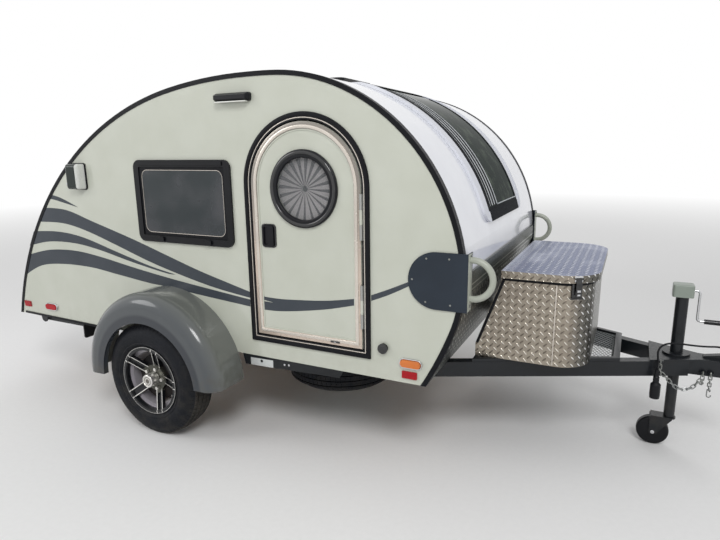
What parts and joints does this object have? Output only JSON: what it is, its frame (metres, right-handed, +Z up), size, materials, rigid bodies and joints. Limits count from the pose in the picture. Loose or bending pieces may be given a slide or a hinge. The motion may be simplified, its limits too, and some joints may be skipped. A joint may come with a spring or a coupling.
{
  "type": "teardrop trailer",
  "caption": "Small teardrop camping trailer with side doors, side and nose windows, rear galley hatch, tongue box, A-frame tongue and jack with caster.",
  "frame": {"origin": "middle of the length and width, on the ground", "axes": "+X forward to the coupler, +Y to the left side, +Z up"},
  "size_m": [4.2117, 2.16, 1.9144],
  "materials": {
    "wall_skin": "gloss",
    "roof_skin": "gloss",
    "black_trim": "satin",
    "black_plastic": "satin",
    "polished_aluminium": "polished",
    "hinge_steel": "brushed",
    "guard_plate": "embossed",
    "tinted_glass": "tinted",
    "plywood": "satin",
    "mattress_cover": "woven",
    "fender_paint": "gloss",
    "tyre": "matte",
    "alloy": "machined",
    "drum_iron": "cast",
    "frame_paint": "satin",
    "slate_paint": "satin",
    "grey_coat": "satin",
    "zinc_steel": "plated",
    "chrome_steel": "polished",
    "tread_plate": "embossed",
    "spare_paint": "satin",
    "red_lens": "gloss",
    "amber_lens": "gloss",
    "hood_plastic": "satin"
  },
  "bodies": {
    "trailer": {"axle": "frame_paint", "amber_markers": "amber_lens", "box_tray": "frame_paint", "bulkhead": "plywood", "chassis_rails": "frame_paint", "corner_plates": "slate_paint", "coupler": "frame_paint", "cross_members": "frame_paint", "door_frames": "polished_aluminium", "edge_trims": "black_trim", "fender_left": "fender_paint", "fender_right": "fender_paint", "floor": "plywood", "galley_cabinet": "plywood", "grab_handles": "grey_coat", "hinges": "hinge_steel", "jack_crank": "chrome_steel", "jack_head": "grey_coat", "jack_tube": "frame_paint", "mattress": "mattress_cover", "nose_bar": "black_plastic", "nose_window": "tinted_glass", "porch_lamps": "black_plastic", "power_inlet": "black_plastic", "rear_sill": "roof_skin", "red_lamps": "red_lens", "roof_fan": "black_plastic", "roof_shell": "roof_skin", "side_wall_left": "wall_skin", "side_wall_right": "wall_skin", "spare_rim": "spare_paint", "spare_tyre": "tyre", "stone_guard": "guard_plate", "tongue_box": "tread_plate", "vent_hood": "hood_plastic", "window_frames": "black_plastic", "window_panes": "tinted_glass", "nose_seal": "black_trim", "safety_chains": "zinc_steel", "tow_cord": "black_trim", "tow_plug": "black_plastic"},
    "wheel_right": {"tyre_right": "tyre", "rim_right": "alloy", "brake_drum_right": "drum_iron"},
    "wheel_left": {"tyre_left": "tyre", "rim_left": "alloy", "brake_drum_left": "drum_iron"},
    "door_right": {"door_right": "wall_skin", "door_fittings_right": "black_plastic", "porthole_pane_right": "tinted_glass"},
    "door_left": {"door_left": "wall_skin", "door_fittings_left": "black_plastic", "porthole_pane_left": "tinted_glass"},
    "hatch": {"hatch": "roof_skin"},
    "box_lid": {"box_lid": "tread_plate"},
    "jack_leg": {"jack_leg": "zinc_steel"},
    "caster_fork": {"caster_fork": "zinc_steel"},
    "caster_wheel": {"caster_wheel": "black_plastic"},
    "stabiliser_right": {"stabiliser_leg_right": "frame_paint"},
    "stabiliser_left": {"stabiliser_leg_left": "frame_paint"}
  },
  "joints": [
    {"name": "wheel_right_spin", "type": "hinge", "parent": "trailer", "child": "wheel_right", "pos_m": [-0.74913, -0.968, 0.318], "axis": [0, 1, 0], "continuous": true},
    {"name": "wheel_left_spin", "type": "hinge", "parent": "trailer", "child": "wheel_left", "pos_m": [-0.74913, 0.968, 0.318], "axis": [0, 1, 0], "continuous": true},
    {"name": "door_right_swing", "type": "hinge", "parent": "trailer", "child": "door_right", "pos_m": [0.44737, -0.868, 1.13], "axis": [0, 0, 1], "range_deg": [0, 110]},
    {"name": "door_left_swing", "type": "hinge", "parent": "trailer", "child": "door_left", "pos_m": [0.44737, 0.868, 1.13], "axis": [0, 0, -1], "range_deg": [0, 110]},
    {"name": "hatch_lift", "type": "hinge", "parent": "trailer", "child": "hatch", "pos_m": [-1.20163, 0, 1.6348], "axis": [0, 1, 0], "range_deg": [0, 80]},
    {"name": "box_lid_lift", "type": "hinge", "parent": "trailer", "child": "box_lid", "pos_m": [0.97687, 0, 0.915], "axis": [0, -1, 0], "range_deg": [0, 85]},
    {"name": "jack_slide", "type": "slide", "parent": "trailer", "child": "jack_leg", "axis": [0, 0, 1], "range_m": [-0.1, 0.22]},
    {"name": "caster_swivel", "type": "hinge", "parent": "jack_leg", "child": "caster_fork", "pos_m": [1.77087, 0, 0.16], "axis": [0, 0, 1], "continuous": true},
    {"name": "caster_spin", "type": "hinge", "parent": "caster_fork", "child": "caster_wheel", "pos_m": [1.70287, 0, 0.076], "axis": [0, 1, 0], "continuous": true},
    {"name": "stabiliser_right_drop", "type": "hinge", "parent": "trailer", "child": "stabiliser_right", "pos_m": [-1.99913, -0.735, 0.435], "axis": [0, 1, 0], "range_deg": [0, 85]},
    {"name": "stabiliser_left_drop", "type": "hinge", "parent": "trailer", "child": "stabiliser_left", "pos_m": [-1.99913, 0.735, 0.435], "axis": [0, 1, 0], "range_deg": [0, 85]}
  ]
}
